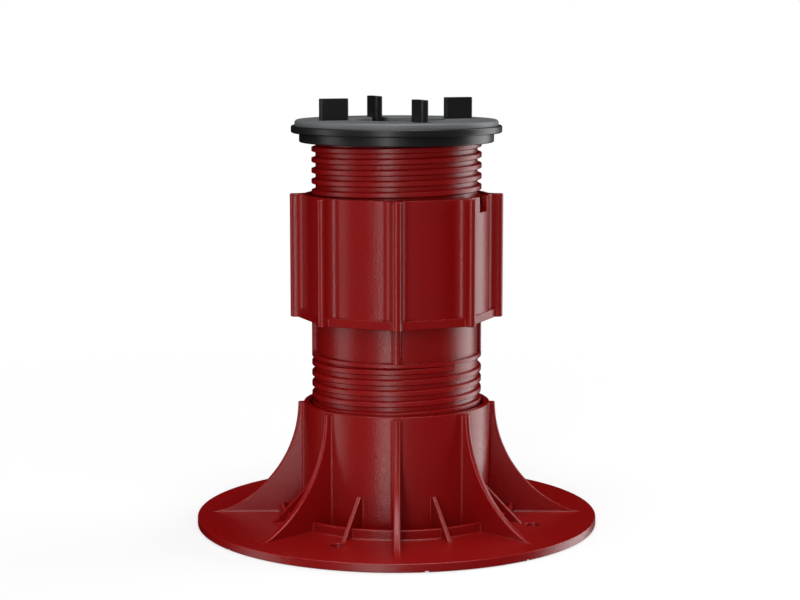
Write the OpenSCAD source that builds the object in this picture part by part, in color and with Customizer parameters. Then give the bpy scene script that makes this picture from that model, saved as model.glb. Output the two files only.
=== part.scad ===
// Adjustable screw pedestal for raised floors and paving: ribbed base, coupler,
// threaded stem, two slope discs, a rubber pad and four spacer tabs.
// Origin: centre of the underside on the screw axis. +Z is up, -Y is the front. Millimetres.

/* [Base] */
// Outside radius of the round flange
flange_r = 100; // [80:1:125]
// Thickness of the flange
flange_t = 4.2; // [3:0.1:8]
// Top of the threaded socket above the floor
socket_h = 61.2; // [50:0.1:90]
// Wall of the socket at its rim
socket_wall = 3.9; // [2:0.1:8]
// Number of tall curved ribs
rib_n = 8; // [4:1:12]
// Thickness of the tall ribs
rib_t = 3.4; // [2:0.1:6]
// Radius of the hollow curve of the tall ribs
rib_curve_r = 59.9; // [50:0.1:72]
// How far the tall ribs stand out of the socket wall at the rim
rib_rim = 2.7; // [0.6:0.1:8]
// How far the low ring stands out round the foot of the socket
ring_out = 12.3; // [6:0.1:20]
// Top of the low ring above the floor
ring_h = 9; // [6:0.1:15]
// Thickness of the low ring
ring_t = 2.2; // [1.2:0.1:5]
// How far the feet of the small straight gussets stand out of the socket wall
gusset_out = 20.1; // [14:0.1:30]
// Top of the small gussets above the floor
gusset_h = 22; // [14:0.1:40]
// Thickness of the small gussets
gusset_t = 2.2; // [1.5:0.1:5]
// Diameter of the four screw holes in the flange
hole_d = 7; // [4:0.1:9]
// Distance from the foot of a gusset to the middle of its screw hole
hole_gap = 6; // [5:0.1:15]

/* [Coupler] */
// Crest radius of the outside thread of the coupler
male_r = 42.2; // [34:0.1:55]
// Length of the coupler screwed into the socket
screwed_in = 31.2; // [20:0.1:40]
// Length of thread that shows above the socket, up to the shoulder
screwed_out = 23; // [4:0.1:30]
// Wall of the coupler below the collar, over the thread crests
coupler_wall = 5.4; // [3:0.1:10]
// Depth of the plain length and of the thread relief under the crests
neck_drop = 2.1; // [1:0.1:4]
// Height of the full shoulder
shoulder_h = 2.1; // [1:0.1:4]
// Height of the plain length between the shoulder and the collar
neck_h = 17.2; // [5:0.1:30]
// Height of the grip collar
collar_h = 61.4; // [45:0.1:80]
// Wall of the grip collar
collar_wall = 3.5; // [2:0.1:8]
// How far the grip ribs stand out of the collar wall
grip_out = 7; // [4:0.1:12]
// Width of the grip ribs, which end in a full round
grip_t = 4.7; // [2:0.1:6]
// Fillet radius at the root of the grip ribs
grip_fillet = 5; // [1:0.1:6]
// Height of the eight-sided skirt at the foot of the collar
skirt_h = 4.3; // [2:0.1:8]
// How far the flats of the skirt stand out of the collar wall
skirt_out = 0.4; // [0:0.1:4]
// Width of the locking notch in the collar rim
notch_w = 9.7; // [4:0.1:16]
// Depth of the locking notch in the collar rim
notch_h = 7.7; // [3:0.1:14]

/* [Stem] */
// Crest radius of the thread of the stem
stem_r = 42; // [34:0.1:52]
// Wall of the stem, over the thread crests
stem_wall = 5.5; // [3:0.1:10]
// Length of the stem screwed into the collar
stem_in = 29.9; // [15:0.1:55]
// Length of the stem that shows above the collar
stem_out = 25.5; // [4:0.1:40]
// Depth of the plain length at the top of the stem under the crests
stem_neck_drop = 2; // [1:0.1:4]
// Height of the plain length at the top of the stem
stem_neck_h = 2.3; // [1:0.1:5]

/* [Head] */
// How far the lower disc stands out round the stem
disc_out = 6; // [2:0.1:15]
// Visible height of the lower disc
disc_h = 4.6; // [3:0.1:10]
// Slope of the face between the two discs, in percent
slope_pct = 2.5; // [0:0.5:3]
// Width of the rim of the upper disc round the lower one
plate_rim = 3.5; // [2:0.1:10]
// Height of the upper disc
plate_h = 3.6; // [3:0.1:8]
// Distance from the edge of the pad in to the edge of the upper disc
pad_step = 1.8; // [0:0.1:6]
// Thickness of the rubber pad
pad_h = 2.8; // [1:0.1:6]
// Radius of the rounded upper edge of the pad
pad_round = 1.5; // [0.5:0.1:2.5]
// Radius of the round opening in the pad
pad_hole_r = 23.5; // [14:0.1:28]
// Radius of the rounded corners where the slots leave the opening
pad_mouth = 3; // [0.5:0.1:4]
// Length of a spacer tab along its radius
tab_l = 14.4; // [8:0.1:20]
// Thickness of a spacer tab, the width of the joint it sets
tab_t = 3.7; // [2:0.1:10]
// Height of a spacer tab above the pad
tab_h = 10.5; // [6:0.1:20]
// Radius of the circle the spacer tabs stand on
tab_circle_r = 32.5; // [26:0.1:38]
// Turn of the cross of tabs from the front
tab_turn = 20; // [0:1:45]

/* [Fits] */
// Running clearance between thread crests and their bores
thread_clear = 0.3; // [0.1:0.05:0.6]
// Clearance between the two slope discs
slope_clear = 0.2; // [0.1:0.05:0.5]
// Clearance between the pad slots and the tabs
slot_clear = 2; // [0.3:0.1:3]

/* [Hidden] */
$fn = 96;
e = 0.01;
floor_t = 3;
socket_bore_r = male_r + thread_clear;
socket_r = socket_bore_r + socket_wall;
mouth_r = male_r + 1.2;
mouth_h = 4;
rib_top_r = socket_r + rib_rim;
ring_r = socket_r + ring_out;
gusset_r = socket_r + gusset_out;
hole_circle_r = gusset_r + hole_gap;
coupler_z = socket_h - screwed_in;
shoulder_z = socket_h + screwed_out;
neck_r = male_r - neck_drop;
collar_z = shoulder_z + shoulder_h + neck_h;
rib_top_z = socket_h - 0.8;
rib_cx = rib_top_r + rib_curve_r;
rib_cz = rib_curve_r + 1.1;
rib_root_z = flange_t - 0.8;
rib_foot_r = min(rib_cx - 17, flange_r - 7);
gusset_k = (gusset_r - socket_r - 1) / (gusset_h - flange_t);
gusset_turn = 180 / rib_n;
notch_turns = [-53, 8, 38];
collar_top = collar_z + collar_h;
collar_floor_z = collar_z + skirt_h;
collar_bore_r = stem_r + thread_clear;
collar_mouth_r = stem_r + 1.2;
coupler_bore_r = min(male_r - coupler_wall, collar_bore_r - 2);
collar_r = max(collar_bore_r + collar_wall, neck_r + 1);
grip_r = collar_r + grip_out;
grip_half = grip_t / 2;
grip_tip_r = grip_r - grip_half;
grip_root_most = (pow(grip_tip_r, 2) - pow(collar_r, 2) + pow(grip_half, 2)) / (2 * (collar_r - grip_half));
grip_root_r = max(0.3, min(grip_fillet, grip_root_most));
skirt_flat_r = collar_r + skirt_out;
stem_z = collar_top - stem_in;
stem_bore_r = stem_r - stem_wall;
stem_neck_r = stem_r - stem_neck_drop;
head_z = collar_top + stem_out;
disc_r = stem_r + disc_out;
grip_n = 8;
notch_turn = 67.5;
plate_z = head_z + disc_h;
slope_a = atan(slope_pct / 100);
slope_z = plate_z + 1.1;
plate_top = plate_z + plate_h;
recess_r = disc_r + 0.5;
plate_r = recess_r + plate_rim;
pad_r = plate_r - pad_step;
pad_top = plate_top + pad_h;
tab_top = pad_top + tab_h;
slot_w = tab_t + 2 * slot_clear;
slot_end_r = tab_circle_r + tab_l / 2 + slot_clear - slot_w / 2;
tab_round = 0.6;

// Turns a shape drawn along +X to an azimuth counted from the front
module at_turn(a) {
  rotate([0, 0, a - 90]) children();
}

// Body of revolution of the base: flange, low upright ring and socket
module base_shell() {
  rotate_extrude()
    polygon([
      [0, 0],
      [ring_r + 3.5, 0],
      [ring_r + 4.5, 1.2],
      [flange_r - 6.5, 1.2],
      [flange_r - 5.5, 0],
      [flange_r - 0.6, 0],
      [flange_r, 0.6],
      [flange_r, flange_t - 0.5],
      [flange_r - 0.5, flange_t],
      [ring_r + 0.6, flange_t],
      [ring_r, flange_t + 0.6],
      [ring_r, ring_h - 0.4],
      [ring_r - 0.4, ring_h],
      [ring_r - ring_t + 0.4, ring_h],
      [ring_r - ring_t, ring_h - 0.4],
      [ring_r - ring_t, flange_t],
      [socket_r, flange_t],
      [socket_r, socket_h - 0.4],
      [socket_r - 0.4, socket_h],
      [mouth_r + 0.4, socket_h],
      [mouth_r, socket_h - 0.4],
      [mouth_r, socket_h - mouth_h],
      [socket_bore_r, socket_h - mouth_h - 0.6],
      [socket_bore_r, floor_t],
      [0, floor_t]
    ]);
}

// One tall rib with its hollow outer curve
module tall_rib() {
  rotate([90, 0, 0])
    translate([0, 0, -rib_t / 2])
      linear_extrude(rib_t)
        difference() {
          polygon([
            [socket_r - 2, rib_root_z],
            [rib_foot_r, rib_root_z],
            [rib_foot_r, rib_top_z],
            [socket_r - 2, rib_top_z]
          ]);
          translate([rib_cx, rib_cz]) circle(r = rib_curve_r);
          translate([rib_top_r, rib_cz]) square(100);
        }
}

// One small straight gusset
module gusset() {
  rotate([90, 0, 0])
    translate([0, 0, -gusset_t / 2])
      linear_extrude(gusset_t)
        polygon([
          [socket_r - 2, rib_root_z],
          [gusset_r + gusset_k * (flange_t - rib_root_z), rib_root_z],
          [socket_r + 1, gusset_h],
          [socket_r - 2, gusset_h]
        ]);
}

module base() {
  color("#8e1a1c")
  difference() {
    union() {
      base_shell();
      for (i = [0 : rib_n - 1]) at_turn(i * 360 / rib_n) tall_rib();
      for (i = [0 : rib_n - 1]) at_turn(gusset_turn + i * 360 / rib_n) gusset();
    }
    // screw holes outside every second gusset
    for (i = [0 : 3])
      at_turn(-gusset_turn + i * 90)
        translate([hole_circle_r, 0, -1]) cylinder(h = flange_t + 2, d = hole_d);
    // drain notches through the rim of the underside
    for (a = notch_turns)
      at_turn(a) translate([flange_r - 7, -1, -1]) cube([9, 2, 1.7]);
  }
}

// Grip collar in plan: wall and eight ribs with fully rounded tips
module collar_plan() {
  circle(r = collar_r);
  for (i = [0 : grip_n - 1])
    rotate(i * 360 / grip_n) {
      translate([0, -grip_half]) square([grip_tip_r, grip_t]);
      translate([grip_tip_r, 0]) circle(r = grip_half);
    }
}

// Concave fillets between the collar wall and both sides of every grip rib
module grip_roots() {
  for (i = [0 : grip_n - 1])
    rotate(i * 360 / grip_n) {
      grip_root(-1);
      grip_root(1);
    }
}

module grip_root(s) {
  cy = s * (grip_half + grip_root_r);
  cx = sqrt(pow(collar_r + grip_root_r, 2) - cy * cy);
  k = collar_r / (collar_r + grip_root_r);
  difference() {
    polygon([
      [cx * k - 2.5, s * (grip_half - 0.5)],
      [cx, s * (grip_half - 0.5)],
      [cx, s * grip_half],
      [cx, cy],
      [cx * k, cy * k],
      [cx * k - 2.5, cy * k]
    ]);
    translate([cx, cy]) circle(r = grip_root_r);
  }
}

// Body of revolution of the coupler below the collar
module coupler_tube() {
  rotate_extrude()
    polygon([
      [coupler_bore_r, coupler_z],
      [male_r - 1.5, coupler_z],
      [male_r, coupler_z + 1.5],
      [male_r, shoulder_z - 2.4],
      [neck_r + 0.4, shoulder_z - 1.8],
      [neck_r + 0.4, shoulder_z - 0.4],
      [male_r - 0.2, shoulder_z],
      [male_r, shoulder_z + 0.4],
      [male_r, shoulder_z + shoulder_h - 0.4],
      [male_r - 0.4, shoulder_z + shoulder_h],
      [neck_r, shoulder_z + shoulder_h],
      [neck_r, collar_z + e],
      [collar_r - 2, collar_z + e],
      [collar_r - 2, collar_top - 0.6],
      [collar_mouth_r + 0.4, collar_top - 0.6],
      [collar_mouth_r, collar_top - 1],
      [collar_mouth_r, collar_top - 4],
      [collar_bore_r, collar_top - 4.6],
      [collar_bore_r, collar_floor_z],
      [coupler_bore_r, collar_floor_z]
    ]);
}

module coupler() {
  color("#8e1a1c")
  difference() {
    union() {
      coupler_tube();
      translate([0, 0, collar_z]) linear_extrude(collar_h) collar_plan();
      translate([0, 0, collar_floor_z - 0.2]) linear_extrude(collar_h - skirt_h + 0.2) grip_roots();
      translate([0, 0, collar_z])
        rotate([0, 0, 22.5])
          cylinder(h = skirt_h, r = skirt_flat_r / cos(22.5), $fn = 8);
      for (i = [0 : 3])
        rotate([0, 0, i * 90])
          translate([neck_r - 1.5, -2.1, shoulder_z + 1])
            cube([male_r - neck_r + 1.5, 4.2, collar_z - shoulder_z]);
    }
    translate([0, 0, coupler_z - 1])
      cylinder(h = collar_floor_z - coupler_z + 2, r = coupler_bore_r);
    translate([0, 0, collar_floor_z]) cylinder(h = collar_h, r = collar_bore_r);
    translate([0, 0, collar_top - 4]) cylinder(h = 5, r = collar_mouth_r);
    at_turn(notch_turn)
      translate([collar_bore_r - 3, -notch_w / 2, collar_top - notch_h])
        cube([collar_r - collar_bore_r + 4.5, notch_w, notch_h + 1]);
  }
}

module stem() {
  color("#8e1a1c")
  rotate_extrude()
    polygon([
      [stem_bore_r, stem_z],
      [stem_r - 1.5, stem_z],
      [stem_r, stem_z + 1.5],
      [stem_r, head_z - stem_neck_h - 0.2],
      [stem_neck_r, head_z - stem_neck_h],
      [stem_neck_r, head_z],
      [stem_bore_r, head_z]
    ]);
}

// Half space above the sloping face, lifted by a clearance along its normal
module above_slope(lift) {
  translate([0, 0, slope_z])
    rotate([0, slope_a, 0])
      translate([-2 * disc_r, -2 * disc_r, lift]) cube([4 * disc_r, 4 * disc_r, 30]);
}

module lower_disc() {
  color("#1c1c1d")
  difference() {
    rotate_extrude()
      polygon([
        [stem_bore_r - 3.5, head_z - 9],
        [stem_bore_r - 0.8, head_z - 9],
        [stem_bore_r - 0.3, head_z - 8.5],
        [stem_bore_r - 0.3, head_z],
        [disc_r - 0.6, head_z],
        [disc_r, head_z + 0.6],
        [disc_r, plate_z + 3],
        [0, plate_z + 3],
        [0, head_z + 1],
        [stem_bore_r - 3.5, head_z + 1]
      ]);
    above_slope(0);
  }
}

// Sloping space under the upper disc that the lower disc turns in
module slope_recess() {
  difference() {
    translate([0, 0, plate_z - 1]) cylinder(h = plate_h + 1, r = recess_r);
    above_slope(slope_clear);
  }
}

module head_plate() {
  color("#1c1c1d")
  difference() {
    rotate_extrude()
      polygon([
        [0, plate_z],
        [plate_r - 0.8, plate_z],
        [plate_r, plate_z + 0.8],
        [plate_r, plate_top - 0.6],
        [plate_r - 0.6, plate_top],
        [0, plate_top]
      ]);
    slope_recess();
  }
}

// Rounded corner where one side of a pad slot meets the round opening
module slot_mouth(s) {
  cy = s * (slot_w / 2 + pad_mouth);
  cx = sqrt(pow(pad_hole_r + pad_mouth, 2) - cy * cy);
  k = pad_hole_r / (pad_hole_r + pad_mouth);
  difference() {
    polygon([
      [cx * k - 2, s * (slot_w / 2 - 0.5)],
      [cx, s * (slot_w / 2 - 0.5)],
      [cx, cy],
      [cx * k, cy * k],
      [cx * k - 2, cy * k]
    ]);
    translate([cx, cy]) circle(r = pad_mouth);
  }
}

module pad() {
  color("#6a6e73")
  difference() {
    rotate_extrude()
      difference() {
        polygon([
          [0, plate_top],
          [pad_r, plate_top],
          [pad_r, pad_top],
          [0, pad_top]
        ]);
        difference() {
          translate([pad_r - pad_round, pad_top - pad_round]) square(pad_round + 1);
          translate([pad_r - pad_round, pad_top - pad_round]) circle(r = pad_round);
        }
      }
    translate([0, 0, plate_top - 1]) cylinder(h = pad_h + 2, r = pad_hole_r);
    for (i = [0 : 3])
      at_turn(tab_turn + i * 90) {
        translate([0, -slot_w / 2, plate_top - 1]) cube([slot_end_r, slot_w, pad_h + 2]);
        translate([slot_end_r, 0, plate_top - 1]) cylinder(h = pad_h + 2, d = slot_w);
        translate([0, 0, plate_top - 1])
          linear_extrude(pad_h + 2) {
            slot_mouth(-1);
            slot_mouth(1);
          }
      }
  }
}

// One spacer tab standing on the upper disc, with rounded upright edges
module spacer_tab() {
  translate([tab_circle_r, 0, plate_top])
    linear_extrude(pad_h + tab_h) {
      square([tab_l - 2 * tab_round, tab_t], center = true);
      square([tab_l, tab_t - 2 * tab_round], center = true);
      for (x = [-1, 1])
        for (y = [-1, 1])
          translate([x * (tab_l / 2 - tab_round), y * (tab_t / 2 - tab_round)])
            circle(r = tab_round);
    }
}

module tab_front() {
  color("#202122") at_turn(tab_turn) spacer_tab();
}

module tab_right() {
  color("#202122") at_turn(tab_turn + 90) spacer_tab();
}

module tab_back() {
  color("#202122") at_turn(tab_turn + 180) spacer_tab();
}

module tab_left() {
  color("#202122") at_turn(tab_turn + 270) spacer_tab();
}

base();
coupler();
stem();
lower_disc();
head_plate();
pad();
tab_front();
tab_right();
tab_back();
tab_left();
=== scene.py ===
"""Looks of an adjustable screw pedestal: ribbed foot, coupler, threaded stem, tilting head."""
import math

import bmesh
import bpy
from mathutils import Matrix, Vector


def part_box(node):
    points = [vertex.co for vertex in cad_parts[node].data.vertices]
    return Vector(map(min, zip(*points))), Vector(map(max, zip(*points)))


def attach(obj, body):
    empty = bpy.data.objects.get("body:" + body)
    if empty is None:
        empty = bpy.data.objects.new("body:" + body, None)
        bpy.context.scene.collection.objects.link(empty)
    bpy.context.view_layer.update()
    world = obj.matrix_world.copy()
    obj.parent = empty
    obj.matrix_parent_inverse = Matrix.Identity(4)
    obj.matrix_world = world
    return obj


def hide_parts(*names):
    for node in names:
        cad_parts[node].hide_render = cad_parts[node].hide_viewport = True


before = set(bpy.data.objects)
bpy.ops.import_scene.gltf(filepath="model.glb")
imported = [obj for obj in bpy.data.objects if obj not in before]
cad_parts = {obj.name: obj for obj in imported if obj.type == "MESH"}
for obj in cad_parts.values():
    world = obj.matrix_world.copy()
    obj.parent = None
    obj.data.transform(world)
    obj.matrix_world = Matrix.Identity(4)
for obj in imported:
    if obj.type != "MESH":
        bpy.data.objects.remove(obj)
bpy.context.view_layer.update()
MM = 0.001

# Heights and radii shared with the solids, in millimetres
FOOT_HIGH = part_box("base")[1].z / MM
FLANGE_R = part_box("base")[1].x / MM
FLANGE_T = 4.2
RING_R, RING_H, RING_T = 58.7, 9.0, 2.2
WALL_R, SOCKET_BORE_R, SOCKET_MOUTH_R = 46.4, 42.5, 43.4
UNDERSIDE_IN, UNDERSIDE_OUT, UNDERSIDE_H = 63.2, 93.5, 1.2
RIB_T, RIB_TOP_Z, RIB_CURVE, RIB_CURVE_R, RIB_END_R = 3.4, 60.4, (109.2, 61.0), 59.9, 94.5
GUSSET_T, GUSSET_H, GUSSET_TOP_R, GUSSET_END_R = 2.2, 22.0, 47.4, 66.5
HOLE_R, HOLE_CIRCLE_R, HOLE_TURN = 3.5, 72.5, -22.5
DRAIN_TURNS = (-53, 8, 38)
COUPLER_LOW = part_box("coupler")[0].z / MM
COLLAR_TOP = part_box("coupler")[1].z / MM
COLLAR_LOW = COLLAR_TOP - 61.4
COLLAR_R, GRIP_R, GRIP_T, GRIP_FILLET = 45.8, 52.8, 4.7, 5.0
COLLAR_BORE_R, COLLAR_MOUTH_R, COUPLER_BORE_R = 42.3, 43.2, 36.8
SKIRT_H, SKIRT_R = 4.3, 46.2
SHOULDER_Z, SHOULDER_H, NECK_R, MALE_R, MALE_CORE_R = 84.2, 2.1, 40.1, 42.2, 40.6
NECK_RIB_T = 4.2
STEM_LOW, STEM_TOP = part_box("stem")[0].z / MM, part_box("stem")[1].z / MM
STEM_R, STEM_CORE_R, STEM_BORE_R = 42.0, 40.0, 36.5
PITCH, THREAD_FOOT, THREAD_CREST, THREAD_SINK, CREST_ROUNDING = 5.25, 3.94, 2.1, 0.5, 0.45
HEAD_Z = STEM_TOP
PLATE_Z, PLATE_TOP = HEAD_Z + 4.6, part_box("head_plate")[1].z / MM
DISC_R, PLATE_R = 48.0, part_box("head_plate")[1].x / MM
PAD_TOP, PAD_R, PAD_HOLE_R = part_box("pad")[1].z / MM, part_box("pad")[1].x / MM, 23.5
TAB_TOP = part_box("tab_front")[1].z / MM
TAB_L, TAB_T, TAB_CIRCLE_R, TAB_TURN = 14.4, 3.7, 32.5, 20.0
SLOT_GAP, SLOT_MOUTH = 2.0, 3.0
SLOPE = math.atan(0.025)


# Materials

def linear(hex_colour):
    """An sRGB hex colour as linear red, green, blue, alpha."""
    parts = [int(hex_colour[i:i + 2], 16) / 255 for i in (1, 3, 5)]
    return [c / 12.92 if c <= 0.04045 else ((c + 0.055) / 1.055) ** 2.4 for c in parts] + [1]


def add(tree, kind, links=None, **settings):
    """Adds a node; links gives its inputs a value or another node's output."""
    made = tree.nodes.new(kind)
    for key, value in settings.items():
        setattr(made, key, value)
    for key, value in (links or {}).items():
        socket = made.inputs[key]
        if isinstance(value, bpy.types.NodeSocket):
            tree.links.new(value, socket)
        else:
            socket.default_value = value
    return made


def moulded(name, colour, worn, rough, grain_mm, grain_depth):
    """Moulded plastic: spark-eroded grain, faint cloudy shade and a slow drift in gloss."""
    made = bpy.data.materials.new(name)
    made.use_nodes = True
    tree = made.node_tree
    shader = tree.nodes["Principled BSDF"]
    shader.inputs["IOR"].default_value = 1.49
    place = add(tree, "ShaderNodeTexCoord").outputs["Object"]
    cloud = add(tree, "ShaderNodeTexNoise", {"Vector": place, "Scale": 1 / (18 * MM), "Detail": 3.0})
    shade = add(tree, "ShaderNodeMix", {0: cloud.outputs["Fac"], 6: linear(colour), 7: linear(worn)},
                data_type="RGBA")
    tree.links.new(shade.outputs[2], shader.inputs["Base Color"])
    grain = add(tree, "ShaderNodeTexNoise",
                {"Vector": place, "Scale": 1 / (grain_mm * MM), "Detail": 2.0})
    gloss = add(tree, "ShaderNodeMapRange",
                {"Value": cloud.outputs["Fac"], "From Min": 0.3, "From Max": 0.7,
                 "To Min": rough - 0.02, "To Max": rough + 0.03})
    tree.links.new(gloss.outputs["Result"], shader.inputs["Roughness"])
    bump = add(tree, "ShaderNodeBump",
               {"Height": grain.outputs["Fac"], "Distance": grain_depth * MM, "Strength": 1.0})
    tree.links.new(bump.outputs["Normal"], shader.inputs["Normal"])
    return made


# Red polypropylene: satin, with a spark-eroded grain whose lumps, about a millimetre wide, break the
# highlights up
red_plastic = moulded("red_polypropylene_moulded", "#900b0c", "#870a0b", 0.29, 0.8, 0.11)
# Black polypropylene: satin and nearly smooth, so that its highlights stay whole
black_plastic = moulded("black_polypropylene_moulded", "#1d1d1d", "#202021", 0.33, 0.8, 0.015)
# Grey thermoplastic rubber: dull, with broad and weak highlights
grey_rubber = moulded("grey_rubber_moulded", "#626566", "#696c6e", 0.45, 0.7, 0.03)


# Outlines and solids

def rounded(corners, steps=4):
    """Closed outline from (x, y, radius) corners, with each radius cut in or filled out."""
    out = []
    for i, (x, y, radius) in enumerate(corners):
        here = Vector((x, y))
        if radius == 0:
            out.append(here)
            continue
        back = (Vector(corners[i - 1][:2]) - here).normalized()
        on = (Vector(corners[(i + 1) % len(corners)][:2]) - here).normalized()
        half = back.angle(on) / 2
        centre = here + (back + on).normalized() * radius / math.sin(half)
        start = here + back * radius / math.tan(half) - centre
        end = here + on * radius / math.tan(half) - centre
        for k in range(steps + 1):
            out.append(centre + start.slerp(end, k / steps).normalized() * radius)
    return out


def loft(loops, closed=False):
    """A closed mesh through loops of points in millimetres; open ends get a flat cap."""
    solid = bmesh.new()
    rows = [[solid.verts.new(Vector(p) * MM) for p in loop] for loop in loops]
    n = len(rows[0])
    for a, b in zip(rows, rows[1:] + rows[:1] if closed else rows[1:]):
        for k in range(n):
            solid.faces.new((a[k], a[(k + 1) % n], b[(k + 1) % n], b[k]))
    if not closed:
        solid.faces.new(rows[0])
        solid.faces.new(rows[-1])
    return solid


def sealed(solid):
    """Merges doubled points, turns every face outwards and gives the mesh back."""
    bmesh.ops.remove_doubles(solid, verts=solid.verts, dist=1e-7)
    bmesh.ops.dissolve_degenerate(solid, edges=solid.edges, dist=1e-8)
    bmesh.ops.recalc_face_normals(solid, faces=solid.faces)
    made = bpy.data.meshes.new("part")
    solid.to_mesh(made)
    solid.free()
    return made


def turned(profile, steps=192):
    """A body turned round the axis from a closed outline of (radius, height)."""
    loops = []
    for k in range(steps):
        a = 2 * math.pi * k / steps
        loops.append([(r * math.cos(a), r * math.sin(a), z) for r, z in profile])
    return sealed(loft(loops, closed=True))


def joined(meshes):
    """Several meshes as one."""
    solid = bmesh.new()
    for mesh in meshes:
        solid.from_mesh(mesh)
    made = bpy.data.meshes.new("part")
    solid.to_mesh(made)
    solid.free()
    return made


def as_object(mesh, name="part"):
    made = bpy.data.objects.new(name, mesh)
    bpy.context.scene.collection.objects.link(made)
    return made


def plain(source):
    """The evaluated object as a plain mesh; the object itself goes."""
    bpy.context.view_layer.update()
    graph = bpy.context.evaluated_depsgraph_get()
    mesh = bpy.data.meshes.new_from_object(source.evaluated_get(graph))
    bpy.data.objects.remove(source)
    return mesh


def cut(mesh, cutters):
    """The mesh with the cutters' space taken away."""
    body, tool = as_object(mesh), as_object(joined(cutters))
    knife = body.modifiers.new("cut", "BOOLEAN")
    knife.operation, knife.object, knife.solver = "DIFFERENCE", tool, "EXACT"
    made = plain(body)
    bpy.data.objects.remove(tool)
    return made


def at_turn(mesh, degrees):
    """Turns a mesh drawn along +X to an azimuth counted from the front."""
    a = math.radians(degrees - 90)
    made = mesh.copy()
    for v in made.vertices:
        x, y = v.co.x, v.co.y
        v.co.x, v.co.y = x * math.cos(a) - y * math.sin(a), x * math.sin(a) + y * math.cos(a)
    return made


# Geometry trees

def new_tree(name, sockets):
    """An empty geometry tree with named inputs; returns it, its input node and its output node."""
    tree = bpy.data.node_groups.new(name, "GeometryNodeTree")
    tree.interface.new_socket("Geometry", in_out="INPUT", socket_type="NodeSocketGeometry")
    for label, kind in sockets.items():
        tree.interface.new_socket(label, in_out="INPUT", socket_type="NodeSocket" + kind)
    tree.interface.new_socket("Geometry", in_out="OUTPUT", socket_type="NodeSocketGeometry")
    return tree, add(tree, "NodeGroupInput"), add(tree, "NodeGroupOutput")


def grown(tree, mesh=None, **values):
    """The plain mesh that a geometry tree makes from a mesh and its named inputs."""
    holder = as_object(mesh or bpy.data.meshes.new("seed"))
    grower = holder.modifiers.new("grow", "NODES")
    grower.node_group = tree
    for item in tree.interface.items_tree:
        label = item.name.replace(" ", "_").lower()
        if item.item_type == "SOCKET" and item.in_out == "INPUT" and label in values:
            grower[item.identifier] = values[label]
    return plain(holder)


def spread_tree():
    """Copies of one web or tab, evenly spread round the screw axis."""
    tree, give, take = new_tree("spread_round_axis",
                                {"Count": "Int", "First turn": "Float", "Material": "Material"})
    spots = add(tree, "GeometryNodeMeshLine",
                {"Count": give.outputs["Count"], "Offset": (0, 0, 0)})
    step = add(tree, "ShaderNodeMath", {0: 2 * math.pi, 1: give.outputs["Count"]}, operation="DIVIDE")
    turn = add(tree, "ShaderNodeMath",
               {0: add(tree, "GeometryNodeInputIndex").outputs[0], 1: step.outputs[0],
                2: give.outputs["First turn"]}, operation="MULTIPLY_ADD")
    way = add(tree, "ShaderNodeCombineXYZ", {"Z": turn.outputs[0]})
    copies = add(tree, "GeometryNodeInstanceOnPoints",
                 {"Points": spots.outputs["Mesh"], "Instance": give.outputs["Geometry"],
                  "Rotation": way.outputs[0]})
    real = add(tree, "GeometryNodeRealizeInstances", {"Geometry": copies.outputs[0]})
    done = add(tree, "GeometryNodeSetMaterial",
               {"Geometry": real.outputs[0], "Material": give.outputs["Material"]})
    tree.links.new(done.outputs[0], take.inputs[0])
    return tree


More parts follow.
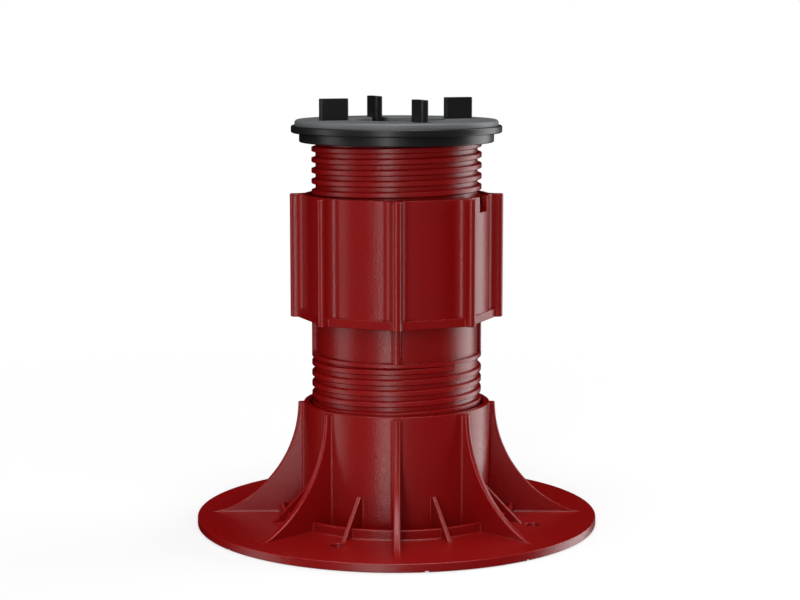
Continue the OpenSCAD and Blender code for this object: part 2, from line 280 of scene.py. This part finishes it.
def thread_tree():
    """One screw thread: a trapezoid ridge that climbs a spiral and fades out at its upper end."""
    tree, give, take = new_tree("screw_thread", {
        "Turns": "Float", "Pitch": "Float", "Core radius": "Float", "Depth": "Float", "Sink": "Float",
        "Foot width": "Float", "Crest width": "Float", "Crest rounding": "Float",
        "Fade": "Float", "Start turn": "Float", "Start height": "Float",
        "Steps per turn": "Int", "Material": "Material"})
    rise = add(tree, "ShaderNodeMath", {0: give.outputs["Turns"], 1: give.outputs["Pitch"]},
               operation="MULTIPLY")
    spiral = add(tree, "GeometryNodeCurveSpiral",
                 {"Resolution": give.outputs["Steps per turn"], "Rotations": give.outputs["Turns"],
                  "Start Radius": give.outputs["Core radius"],
                  "End Radius": give.outputs["Core radius"], "Height": rise.outputs[0],
                  "Reverse": True})
    turn = add(tree, "ShaderNodeCombineXYZ", {"Z": give.outputs["Start turn"]})
    lift = add(tree, "ShaderNodeCombineXYZ", {"Z": give.outputs["Start height"]})
    path = add(tree, "GeometryNodeTransform",
               {"Geometry": spiral.outputs[0], "Translation": lift.outputs[0],
                "Rotation": turn.outputs[0]})
    upright = add(tree, "GeometryNodeSetCurveNormal", {"Curve": path.outputs[0]}, mode="Z_UP")
    share = add(tree, "ShaderNodeMath", {0: give.outputs["Fade"], 1: give.outputs["Turns"]},
                operation="DIVIDE")
    full = add(tree, "ShaderNodeMath", {0: 1.0, 1: share.outputs[0]}, operation="SUBTRACT")
    fade = add(tree, "ShaderNodeMapRange",
               {"Value": add(tree, "GeometryNodeSplineParameter").outputs["Factor"],
                "From Min": 1.0, "From Max": full.outputs[0], "To Min": 0.12, "To Max": 1.0},
               interpolation_type="SMOOTHSTEP")
    tapered = add(tree, "GeometryNodeSetCurveRadius",
                  {"Curve": upright.outputs[0], "Radius": fade.outputs["Result"]})
    tall = add(tree, "ShaderNodeMath", {0: give.outputs["Depth"], 1: give.outputs["Sink"]},
               operation="ADD")
    section = add(tree, "GeometryNodeCurvePrimitiveQuadrilateral",
                  {"Height": tall.outputs[0], "Bottom Width": give.outputs["Foot width"],
                   "Top Width": give.outputs["Crest width"], "Offset": 0.0}, mode="TRAPEZOID")
    middle = add(tree, "ShaderNodeMath", {0: give.outputs["Depth"], 1: give.outputs["Sink"]},
                 operation="SUBTRACT")
    out = add(tree, "ShaderNodeMath", {0: middle.outputs[0], 1: 0.5}, operation="MULTIPLY")
    aside = add(tree, "ShaderNodeCombineXYZ", {"X": out.outputs[0]})
    laid = add(tree, "GeometryNodeTransform",
               {"Geometry": section.outputs[0], "Translation": aside.outputs[0],
                "Rotation": (0, 0, -math.pi / 2)})
    soft = add(tree, "GeometryNodeFilletCurve",
               {"Curve": laid.outputs[0], "Count": 4, "Radius": give.outputs["Crest rounding"]},
               mode="POLY")
    swept = add(tree, "GeometryNodeCurveToMesh",
                {"Curve": tapered.outputs[0], "Profile Curve": soft.outputs[0], "Fill Caps": True})
    real = add(tree, "GeometryNodeRealizeInstances", {"Geometry": swept.outputs[0]})
    done = add(tree, "GeometryNodeSetMaterial",
               {"Geometry": real.outputs[0], "Material": give.outputs["Material"]})
    tree.links.new(done.outputs[0], take.inputs[0])
    return tree


SPREAD = spread_tree()
THREAD = thread_tree()


def round_axis(mesh, count, first_turn, material):
    return grown(SPREAD, mesh, count=count, first_turn=math.radians(first_turn - 90),
                 material=material)


def thread(core_r, crest_r, low, top_z, top_turn, fade):
    """A right-handed ridge from a low height up to its end at an azimuth and height."""
    turns = (top_z - low) / PITCH
    mesh = grown(THREAD, None, turns=turns, pitch=PITCH * MM, core_radius=core_r * MM,
                 depth=(crest_r - core_r) * MM, sink=THREAD_SINK * MM, foot_width=THREAD_FOOT * MM,
                 crest_width=THREAD_CREST * MM, crest_rounding=CREST_ROUNDING * MM, fade=fade,
                 start_turn=math.radians(top_turn - 90) - 2 * math.pi * turns,
                 start_height=low * MM, steps_per_turn=120, material=red_plastic)
    solid = bmesh.new()
    solid.from_mesh(mesh)
    return sealed(solid)


# Webs, fillets and outlines of the mouldings

def bead(start, end, along_a, along_b, radius, end_radius=None, steps=4):
    """A fillet between two faces: a hollow-faced strip from start to end in their corner."""
    a, b = Vector(along_a), Vector(along_b)
    loops = []
    for spot, size in ((start, radius), (end, end_radius or radius)):
        section = [a * size - b * 0.4, -a * 0.4 - b * 0.4, -a * 0.4 + b * size]
        for k in range(steps + 1):
            t = math.pi / 2 * k / steps
            section.append(a * size * (1 - math.cos(t)) + b * size * (1 - math.sin(t)))
        loops.append([Vector(spot) + q for q in section])
    return sealed(loft(loops))


def web(edge, away, thick, high_arris, low_arris):
    """An upright web in the XZ plane: edge holds its outer points, away its inner ones."""
    half = thick / 2
    loops = []
    for k, ((x, z), (inner_x, inner_z)) in enumerate(zip(edge, away)):
        arris = high_arris + (low_arris - high_arris) * k / (len(edge) - 1)
        out = Vector((x - inner_x, 0, z - inner_z)).normalized()
        tip = Vector((x, 0, z)) - out * arris
        side = [Vector((inner_x, half, inner_z))]
        for step in range(5):
            t = math.pi / 2 * step / 4
            side.append(tip + out * arris * math.sin(t)
                        + Vector((0, half - arris + arris * math.cos(t), 0)))
        loops.append(side + [Vector((p.x, -p.y, p.z)) for p in reversed(side)])
    return sealed(loft(loops))


def fan(edge, centre, wall, floor):
    """Inner end of each row: the line from the centre through the edge, run on into wall or floor."""
    ends = []
    for x, z in edge:
        dx, dz = x - centre[0], z - centre[1]
        steps = []
        if dx < 0:
            steps.append((wall - centre[0]) / dx)
        if dz < 0:
            steps.append((floor - centre[1]) / dz)
        s = min(steps)
        ends.append((centre[0] + dx * s, centre[1] + dz * s))
    return ends


def tall_rib():
    """Tall rib with its hollow curve, its foot run out on the flange, and its fillets."""
    centre_r, centre_z = RIB_CURVE
    side, tail_z = RIB_T / 2, FLANGE_T + 1.4
    tail = RIB_END_R - centre_r + math.sqrt(RIB_CURVE_R ** 2 - (centre_z - tail_z) ** 2)
    curve = []
    for k in range(49):
        a = math.radians(180 + 71.2 * k / 48)
        curve.append((centre_r + RIB_CURVE_R * math.cos(a), centre_z + RIB_CURVE_R * math.sin(a)))
    start = curve[0][0]
    top = [(start - 0.3, RIB_TOP_Z), (start - 0.08, RIB_TOP_Z - 0.08), (start, RIB_TOP_Z - 0.3)]
    edge = [p for p in curve if tail_z < p[1] < RIB_TOP_Z - 0.6]
    edge += [(RIB_END_R - tail * u, FLANGE_T + (tail_z - FLANGE_T) * u * u)
             for u in (1, 0.8, 0.6, 0.4, 0.25, 0.1)]
    away = [(WALL_R - 2, z) for _, z in top] + fan(edge, RIB_CURVE, WALL_R - 2, FLANGE_T - 0.8)
    parts = [web(top + edge, away, RIB_T, 1.65, 0.6)]
    for s in (-1, 1):
        parts += [bead((WALL_R - 0.05, s * side, 60), (WALL_R - 0.05, s * side, FLANGE_T),
                       (1, 0, 0), (0, s, 0), 1.3),
                  bead((RING_R - 0.1, s * side, FLANGE_T), (80, s * side, FLANGE_T),
                       (0, 0, 1), (0, s, 0), 0.8),
                  bead((80, s * side, FLANGE_T), (92, s * side, FLANGE_T),
                       (0, 0, 1), (0, s, 0), 0.8, 0.1),
                  bead((RING_R, s * side, FLANGE_T), (RING_R, s * side, RING_H - 0.5),
                       (1, 0, 0), (0, s, 0), 0.9)]
    return joined(parts)


def gusset():
    """Small straight gusset with its fillets."""
    side, inside, under = GUSSET_T / 2, WALL_R - 2.4, FLANGE_T - 0.9
    slope = (GUSSET_END_R - GUSSET_TOP_R) / (FLANGE_T - GUSSET_H)
    edge = [(46.6, GUSSET_H), (47.1, GUSSET_H - 0.05)]
    edge += [(GUSSET_TOP_R + slope * (z - GUSSET_H), z) for z in (21.6, 18, 12, 9, 6, 4.2, 3.6)]
    away = [(inside, z) for z in (22.0, 21.9, 20.0, 14.0, 7.0, 4.0)] + [(r, under) for r in (48, 56, 62)]
    parts = [web(edge, away, GUSSET_T, 0.3, 0.3)]
    for s in (-1, 1):
        parts += [bead((WALL_R - 0.05, s * side, 21.0), (WALL_R - 0.05, s * side, FLANGE_T),
                       (1, 0, 0), (0, s, 0), 0.8),
                  bead((RING_R - 0.1, s * side, FLANGE_T), (65.4, s * side, FLANGE_T),
                       (0, 0, 1), (0, s, 0), 0.5),
                  bead((RING_R, s * side, FLANGE_T), (RING_R, s * side, RING_H - 0.5),
                       (1, 0, 0), (0, s, 0), 0.7)]
    return joined(parts)


def disc_cutter(x, low, high, radius, lip):
    """A cutter for a round hole whose two edges are rounded by a lip."""
    profile = [(0, low - 1), (radius + lip, low - 1), (radius + lip, low)]
    for k in range(4):
        t = math.pi / 2 * (k + 1) / 4
        profile.append((radius + lip * (1 - math.sin(t)), low + lip * (1 - math.cos(t))))
    for k in range(4):
        t = math.pi / 2 * (3 - k) / 4
        profile.append((radius + lip * (1 - math.sin(t)), high - lip * (1 - math.cos(t))))
    profile += [(radius + lip, high), (radius + lip, high + 1), (0, high + 1)]
    made = turned(profile, 40)
    for v in made.vertices:
        v.co.x += x * MM
    return made


def block(x, y, z):
    """A plain cutting block from its ranges along X, Y and Z."""
    loops = [[(x[0], y[0], h), (x[1], y[0], h), (x[1], y[1], h), (x[0], y[1], h)] for h in z]
    return sealed(loft(loops))


def foot_shell():
    """Flange, low ring and threaded socket, with the screw holes and drain notches."""
    trough_r = RING_R - RING_T
    profile = rounded([
        (SOCKET_BORE_R, 3, 0.8), (0.01, 3, 0), (0.01, 0, 0), (UNDERSIDE_IN - 1, 0, 0.3),
        (UNDERSIDE_IN, UNDERSIDE_H, 0.3), (UNDERSIDE_OUT, UNDERSIDE_H, 0.3),
        (UNDERSIDE_OUT + 1, 0, 0.3), (FLANGE_R, 0, 0.6), (FLANGE_R, FLANGE_T, 0.6),
        (RING_R, FLANGE_T, 0.9), (RING_R, RING_H, 0.6), (trough_r, RING_H, 0.6),
        (trough_r, FLANGE_T, 0.6), (WALL_R, FLANGE_T, 1), (WALL_R, FOOT_HIGH, 0.5),
        (SOCKET_MOUTH_R, FOOT_HIGH, 0.5), (SOCKET_MOUTH_R, FOOT_HIGH - 4, 0.3),
        (SOCKET_BORE_R, FOOT_HIGH - 4.6, 0.3)])
    shell = turned(profile, 240)
    cutters = [at_turn(disc_cutter(HOLE_CIRCLE_R, 0, FLANGE_T, HOLE_R, 0.5), HOLE_TURN + 90 * k)
               for k in range(4)]
    cutters += [at_turn(block((93, 102), (-1, 1), (-1, 0.7)), a) for a in DRAIN_TURNS]
    return cut(shell, cutters)


def mirrored(point, angle):
    """A point mirrored in a line through the axis."""
    x, y = point
    c, s = math.cos(2 * angle), math.sin(2 * angle)
    return (x * c + y * s, x * s - y * c)


def collar_outline(inset, fillet=GRIP_FILLET):
    """Grip collar in plan: wall, eight ribs with fully rounded tips, hollow root fillets."""
    wall, half, hollow = COLLAR_R - inset, GRIP_T / 2 - inset, fillet + inset
    cy = half + hollow
    cx = math.sqrt((wall + hollow) ** 2 - cy ** 2)
    side = []
    for k in range(9):
        t = math.pi / 2 * k / 8
        side.append((GRIP_R - GRIP_T / 2 + half * math.cos(t), half * math.sin(t)))
    sweep = math.atan2(cy, cx)
    for k in range(12):
        t = (math.pi / 2 - sweep) * k / 11
        side.append((cx - hollow * math.sin(t), cy - hollow * math.cos(t)))
    for k in range(1, 8):
        t = sweep + (math.pi / 8 - sweep) * k / 7
        side.append((wall * math.cos(t), wall * math.sin(t)))
    sector = side + [mirrored(p, math.pi / 8) for p in reversed(side[1:-1])]
    out = []
    for i in range(8):
        a = i * math.pi / 4
        out += [(x * math.cos(a) - y * math.sin(a), x * math.sin(a) + y * math.cos(a))
                for x, y in sector]
    return out


def collar():
    """Grip collar as one body: outside from the outline, inside from matching circles."""
    low, top, floor = COLLAR_LOW, COLLAR_TOP, COLLAR_LOW + SKIRT_H
    angles = [math.atan2(y, x) for x, y in collar_outline(0)]

    def circle(r, z):
        return [(r * math.cos(a), r * math.sin(a), z) for a in angles]

    def outline(inset, z, fillet=GRIP_FILLET):
        return [(x, y, z) for x, y in collar_outline(inset, fillet)]

    inner, edge = NECK_R - 0.6, 0.5
    loops = [circle(inner, low)]
    for k in range(5):
        t = math.pi / 2 * k / 4
        loops.append(outline(edge * (1 - math.sin(t)), low + edge * (1 - math.cos(t)), 0.05))
    loops += [outline(0, floor - 0.2, 0.05), outline(0, floor - 0.2)]
    for k in range(5):
        t = math.pi / 2 * k / 4
        loops.append(outline(edge * (1 - math.cos(t)), top - edge * (1 - math.sin(t))))
    loops += [circle(COLLAR_MOUTH_R + 0.4, top), circle(COLLAR_MOUTH_R + 0.12, top - 0.12),
              circle(COLLAR_MOUTH_R, top - 0.4), circle(COLLAR_MOUTH_R, top - 4),
              circle(COLLAR_BORE_R, top - 4.6), circle(COLLAR_BORE_R, floor), circle(inner, floor)]
    return sealed(loft(loops, closed=True))


def skirt():
    """Eight-sided skirt round the foot of the collar, with rounded upper and lower edges."""
    def octagon(inset, z):
        out = []
        for i in range(8):
            a = i * math.pi / 4
            r = (SKIRT_R - inset) / math.cos(math.pi / 8)
            b = a + math.pi / 4
            p, q = (r * math.cos(a), r * math.sin(a)), (r * math.cos(b), r * math.sin(b))
            for k in range(8):
                out.append((p[0] + (q[0] - p[0]) * k / 8, p[1] + (q[1] - p[1]) * k / 8, z))
        return out

    low, top, edge = COLLAR_LOW, COLLAR_LOW + SKIRT_H, 0.4
    inner = [(x * 0.9, y * 0.9, low) for x, y, _ in octagon(0, low)]
    loops = [inner]
    for k in range(4):
        t = math.pi / 2 * k / 3
        loops.append(octagon(edge * (1 - math.sin(t)), low + edge * (1 - math.cos(t))))
    for k in range(4):
        t = math.pi / 2 * k / 3
        loops.append(octagon(edge * (1 - math.cos(t)), top - edge * (1 - math.sin(t))))
    loops.append([(x, y, top) for x, y, _ in inner])
    parts = [sealed(loft(loops, closed=True))]
    for i in range(8):
        a = math.radians(i * 45)
        for s in (-1, 1):
            b = a + s * math.pi / 8
            normal = Vector((math.cos(b), math.sin(b), 0))
            along = Vector((-math.sin(b), math.cos(b), 0)) * s
            side = Vector((-math.sin(a), math.cos(a), 0)) * s
            radial = Vector((math.cos(a), math.sin(a), 0))
            spot = side * GRIP_T / 2
            spot = spot + radial * (SKIRT_R - spot.dot(normal)) / radial.dot(normal)
            parts.append(bead(spot + Vector((0, 0, low + 0.3)), spot + Vector((0, 0, top - 0.3)),
                              radial, along, 0.5))
    return joined(parts)


def neck_rib():
    """One of the four flat ribs on the plain length between shoulder and collar."""
    low, top, inside, side = SHOULDER_Z + 1, COLLAR_LOW + 1, NECK_R - 1.6, NECK_RIB_T / 2
    parts = [web([(MALE_R, low), (MALE_R, top)], [(inside, low), (inside, top)], NECK_RIB_T, 1.6, 1.6)]
    for s in (-1, 1):
        parts.append(bead((NECK_R - 0.05, s * side, SHOULDER_Z + SHOULDER_H),
                          (NECK_R - 0.05, s * side, COLLAR_LOW + 0.2), (1, 0, 0), (0, s, 0), 0.5))
    return joined(parts)


def coupler_tube():
    """Core of the threaded length, shoulder and plain neck of the coupler, without the ridge."""
    low, core, shoulder_top = COUPLER_LOW, MALE_CORE_R, SHOULDER_Z + SHOULDER_H
    floor = COLLAR_LOW + SKIRT_H - 0.1
    return turned(rounded([
        (COUPLER_BORE_R, low, 0.4), (core - 0.8, low, 0.6), (core, low + 1, 0),
        (core, SHOULDER_Z, 0.7), (MALE_R, SHOULDER_Z, 0.4), (MALE_R, shoulder_top, 0.4),
        (NECK_R, shoulder_top, 0.6), (NECK_R, floor, 0), (COUPLER_BORE_R, floor, 0)]), 216)


def stem_tube():
    """Plain core of the stem, without the ridge."""
    return turned(rounded([
        (STEM_BORE_R, STEM_LOW, 0.4), (STEM_CORE_R - 0.8, STEM_LOW, 0.5), (STEM_CORE_R, STEM_LOW + 1, 0),
        (STEM_CORE_R, STEM_TOP, 0), (STEM_BORE_R, STEM_TOP, 0)]), 216)


# Head

def lower_disc():
    """Lower slope disc with its spigot; its upper face is cut on the slope."""
    z = HEAD_Z
    rim = turned(rounded([
        (0.01, z + 1, 0), (33, z + 1, 0.3), (33, z - 9, 0.3), (36.2, z - 9, 0.5), (36.2, z, 0),
        (DISC_R, z, 0.7), (DISC_R, z + 7.6, 0), (0.01, z + 7.6, 0)]), 216)
    for v in rim.vertices:
        if v.co.z > (z + 7) * MM:
            v.co.z = (PLATE_Z + 1.1) * MM - math.tan(SLOPE) * v.co.x
    return rim


def head_plate():
    """Upper slope disc: flat rim outside, sloping recess under it."""
    recess = DISC_R + 0.5
    plate = turned(rounded([
        (0.01, PLATE_TOP, 0), (0.01, PLATE_Z + 1.3, 0), (recess, PLATE_Z + 1.3, 0),
        (recess, PLATE_Z, 0.3), (PLATE_R, PLATE_Z, 0.8), (PLATE_R, PLATE_TOP, 0.8)]), 216)
    for v in plate.vertices:
        if abs(v.co.z - (PLATE_Z + 1.3) * MM) < 1e-6:
            v.co.z = max((PLATE_Z + 1.3) * MM - math.tan(SLOPE) * v.co.x, PLATE_Z * MM)
    return plate


def opening_outline(grow):
    """Round opening of the pad with the four slots that run out of it."""
    hole, half = PAD_HOLE_R + grow, TAB_T / 2 + SLOT_GAP + grow
    end = TAB_CIRCLE_R + TAB_L / 2 - TAB_T / 2
    mouth = SLOT_MOUTH - grow
    cy = half + mouth
    cx = math.sqrt((hole + mouth) ** 2 - cy ** 2)
    side = [(end + half, 0)]
    for k in range(1, 9):
        t = math.pi / 2 * k / 8
        side.append((end + half * math.cos(t), half * math.sin(t)))
    side += [(end - (end - cx) * k / 4, half) for k in range(1, 4)]
    low = math.atan2(cy, cx)
    for k in range(7):
        t = (math.pi / 2 - low) * k / 6
        side.append((cx - mouth * math.sin(t), cy - mouth * math.cos(t)))
    for k in range(1, 17):
        t = low + (math.pi / 4 - low) * k / 16
        side.append((hole * math.cos(t), hole * math.sin(t)))
    sector = side + [mirrored(p, math.pi / 4) for p in reversed(side[1:-1])]
    out = []
    for i in range(4):
        a = i * math.pi / 2 + math.radians(TAB_TURN - 90)
        out += [(x * math.cos(a) - y * math.sin(a), x * math.sin(a) + y * math.cos(a))
                for x, y in sector]
    return out


def pad():
    """Rubber pad: rounded outside edge, soft edge round the opening and its slots."""
    low, top, soft, lip = PLATE_TOP, PAD_TOP, 1.5, 0.4
    angles = [math.atan2(y, x) for x, y in opening_outline(0)]

    def circle(r, z):
        return [(r * math.cos(a), r * math.sin(a), z) for a in angles]

    loops = [[(x, y, low) for x, y in opening_outline(0)]]
    for k in range(4):
        t = math.pi / 2 * k / 3
        loops.append([(x, y, top - lip * (1 - math.sin(t)))
                      for x, y in opening_outline(lip * (1 - math.cos(t)))])
    for k in range(7):
        t = math.pi / 2 * k / 6
        loops.append(circle(PAD_R - soft * (1 - math.sin(t)), top - soft * (1 - math.cos(t))))
    loops.append(circle(PAD_R, low))
    return sealed(loft(loops, closed=True))


def spacer_tab(turn):
    """One spacer tab with rounded uprights and softened upper edges."""
    def section(inset):
        x, y, r = TAB_L / 2 - inset, TAB_T / 2 - inset, 1.0 - inset
        return rounded([(-x, -y, r), (x, -y, r), (x, y, r), (-x, y, r)], 4)

    loops = [[(TAB_CIRCLE_R + p.x, p.y, PLATE_TOP) for p in section(0)]]
    for k in range(4):
        t = math.pi / 2 * k / 3
        loops.append([(TAB_CIRCLE_R + p.x, p.y, TAB_TOP - 0.3 * (1 - math.sin(t)))
                      for p in section(0.3 * (1 - math.cos(t)))])
    return at_turn(sealed(loft(loops)), turn)


# Pieces

def piece(name, meshes, body, nodes, material):
    """One finished piece: joined, smooth with true edges, on its body."""
    mesh = joined(meshes)
    mesh.materials.clear()
    mesh.materials.append(material)
    for face in mesh.polygons:
        face.material_index = 0
    mesh.shade_smooth()
    mesh.set_sharp_from_angle(angle=math.radians(38))
    made = as_object(mesh, name)
    mesh.name = name
    even = made.modifiers.new("even_shading", "WEIGHTED_NORMAL")
    even.keep_sharp = True
    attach(made, body)
    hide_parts(*nodes)
    return made


piece("foot_moulding",
      [foot_shell(), round_axis(tall_rib(), 8, 0, red_plastic),
       round_axis(gusset(), 8, 22.5, red_plastic)],
      "foot", ["base"], red_plastic)

notch = at_turn(block((39.3, 47.3), (-4.85, 4.85), (COLLAR_TOP - 7.7, COLLAR_TOP + 1)), 67.5)
piece("coupler_moulding",
      [coupler_tube(),
       thread(MALE_CORE_R, MALE_R, 31.5, 82.9, 42, 0.28),
       cut(collar(), [notch]), skirt(), round_axis(neck_rib(), 4, 0, red_plastic)],
      "coupler", ["coupler"], red_plastic)

piece("stem_moulding",
      [stem_tube(), thread(STEM_CORE_R, STEM_R, 137.0, 189.48, 85, 0.06)],
      "stem", ["stem"], red_plastic)

piece("lower_slope_disc", [lower_disc()], "slope_base", ["lower_disc"], black_plastic)
piece("upper_slope_disc", [head_plate()], "head", ["head_plate"], black_plastic)
piece("rubber_pad", [pad()], "head", ["pad"], grey_rubber)
for k, side in enumerate(("front", "right", "back", "left")):
    piece("spacer_tab_" + side, [spacer_tab(TAB_TURN + 90 * k)], "head", ["tab_" + side],
          black_plastic)


# Studio

def lamp(name, kind, azimuth, elevation, distance, power, size=1.0, tall=None, glossy=True,
         aim=(0, 0, 0.11)):
    """A lamp at an azimuth from the front and an elevation, turned to the object."""
    light = bpy.data.lights.new(name, kind)
    light.energy = power
    if kind == "AREA":
        light.shape = "RECTANGLE"
        light.size, light.size_y = size, tall or size
    else:
        light.angle = math.radians(size)
    made = as_object(light, name)
    a, e = math.radians(azimuth), math.radians(elevation)
    way = Vector((math.sin(a) * math.cos(e), -math.cos(a) * math.cos(e), math.sin(e)))
    made.location = Vector(aim) + way * distance
    made.rotation_euler = way.to_track_quat("Z", "Y").to_euler()
    made.visible_glossy = glossy
    return made


lamp("top_softbox", "AREA", 0, 85, 2.5, 50, size=2.0, tall=2.0)
lamp("front_fill", "SUN", 0, 20, 2.0, 1.22, size=120, glossy=False)
lamp("front_strip", "AREA", -12, 0, 2.0, 17, size=0.3, tall=3.2, aim=(0, 0, 0.1))
lamp("left_strip", "AREA", -81, 0, 2.0, 12.5, size=0.8, tall=3.2, aim=(0, 0, 0.1))
lamp("right_softbox", "AREA", 116, 0, 2.0, 44, size=1.5, tall=3.2, aim=(0, 0, 0.1))

# White paper: its glow, for rays that look at it, keeps it white, and near the object a share of plain
# paper is left that takes the shadow
paper = bpy.data.materials.new("studio_white_paper")
paper.use_nodes = True
sheet_tree = paper.node_tree
sheet_tree.nodes.clear()
looks = add(sheet_tree, "ShaderNodeLightPath").outputs
seen = add(sheet_tree, "ShaderNodeMath", {0: looks["Is Camera Ray"], 1: looks["Is Glossy Ray"]},
           operation="MAXIMUM")
seen = add(sheet_tree, "ShaderNodeMath", {0: seen.outputs[0], 1: looks["Is Transmission Ray"]},
           operation="MAXIMUM")
spot = add(sheet_tree, "ShaderNodeTexCoord").outputs["Object"]
away = add(sheet_tree, "ShaderNodeVectorMath", {0: spot}, operation="LENGTH")
bare = add(sheet_tree, "ShaderNodeMapRange",
           {"Value": away.outputs["Value"], "From Min": 0.12, "From Max": 0.6,
            "To Min": 0.55, "To Max": 1.0})
share = add(sheet_tree, "ShaderNodeMath", {0: seen.outputs[0], 1: bare.outputs["Result"]},
            operation="MULTIPLY")
matt = add(sheet_tree, "ShaderNodeBsdfDiffuse", {"Color": linear("#ffffff")})
glow = add(sheet_tree, "ShaderNodeEmission", {"Color": linear("#ffffff"), "Strength": 1.0})
blend = add(sheet_tree, "ShaderNodeMixShader",
            {0: share.outputs[0], 1: matt.outputs[0], 2: glow.outputs[0]})
add(sheet_tree, "ShaderNodeOutputMaterial", {"Surface": blend.outputs[0]})
ground = bmesh.new()
bmesh.ops.create_circle(ground, cap_ends=True, segments=96, radius=40)
sheet = bpy.data.meshes.new("studio_floor")
ground.to_mesh(sheet)
ground.free()
sheet.materials.append(paper)
floor = as_object(sheet, "studio_floor")
# The paper lies just under the foot. It stays out of the foot's gloss, throws no light up at it and
# doesn't stop the light of the strips' lower ends, which reach below it
floor.location.z = -0.2 * MM
floor.visible_glossy = False
floor.visible_diffuse = False
floor.visible_shadow = False

world = bpy.data.worlds.new("studio")
bpy.context.scene.world = world
world.use_nodes = True
sky = world.node_tree.nodes["Background"]
sky.inputs["Color"].default_value = (1, 1, 1, 1)
sky.inputs["Strength"].default_value = 1
world.cycles_visibility.diffuse = False
world.cycles_visibility.glossy = False

camera = bpy.data.cameras.new("camera")
camera.lens, camera.sensor_width = 87.02, 36
camera.clip_end = 100
view = as_object(camera, "camera")
view.location = (0, -0.954196, 0.242362)
view.rotation_euler = (math.radians(90 - 7.799), 0, math.radians(-0.1025))
bpy.context.scene.camera = view
bpy.context.scene.view_settings.view_transform = "Standard"
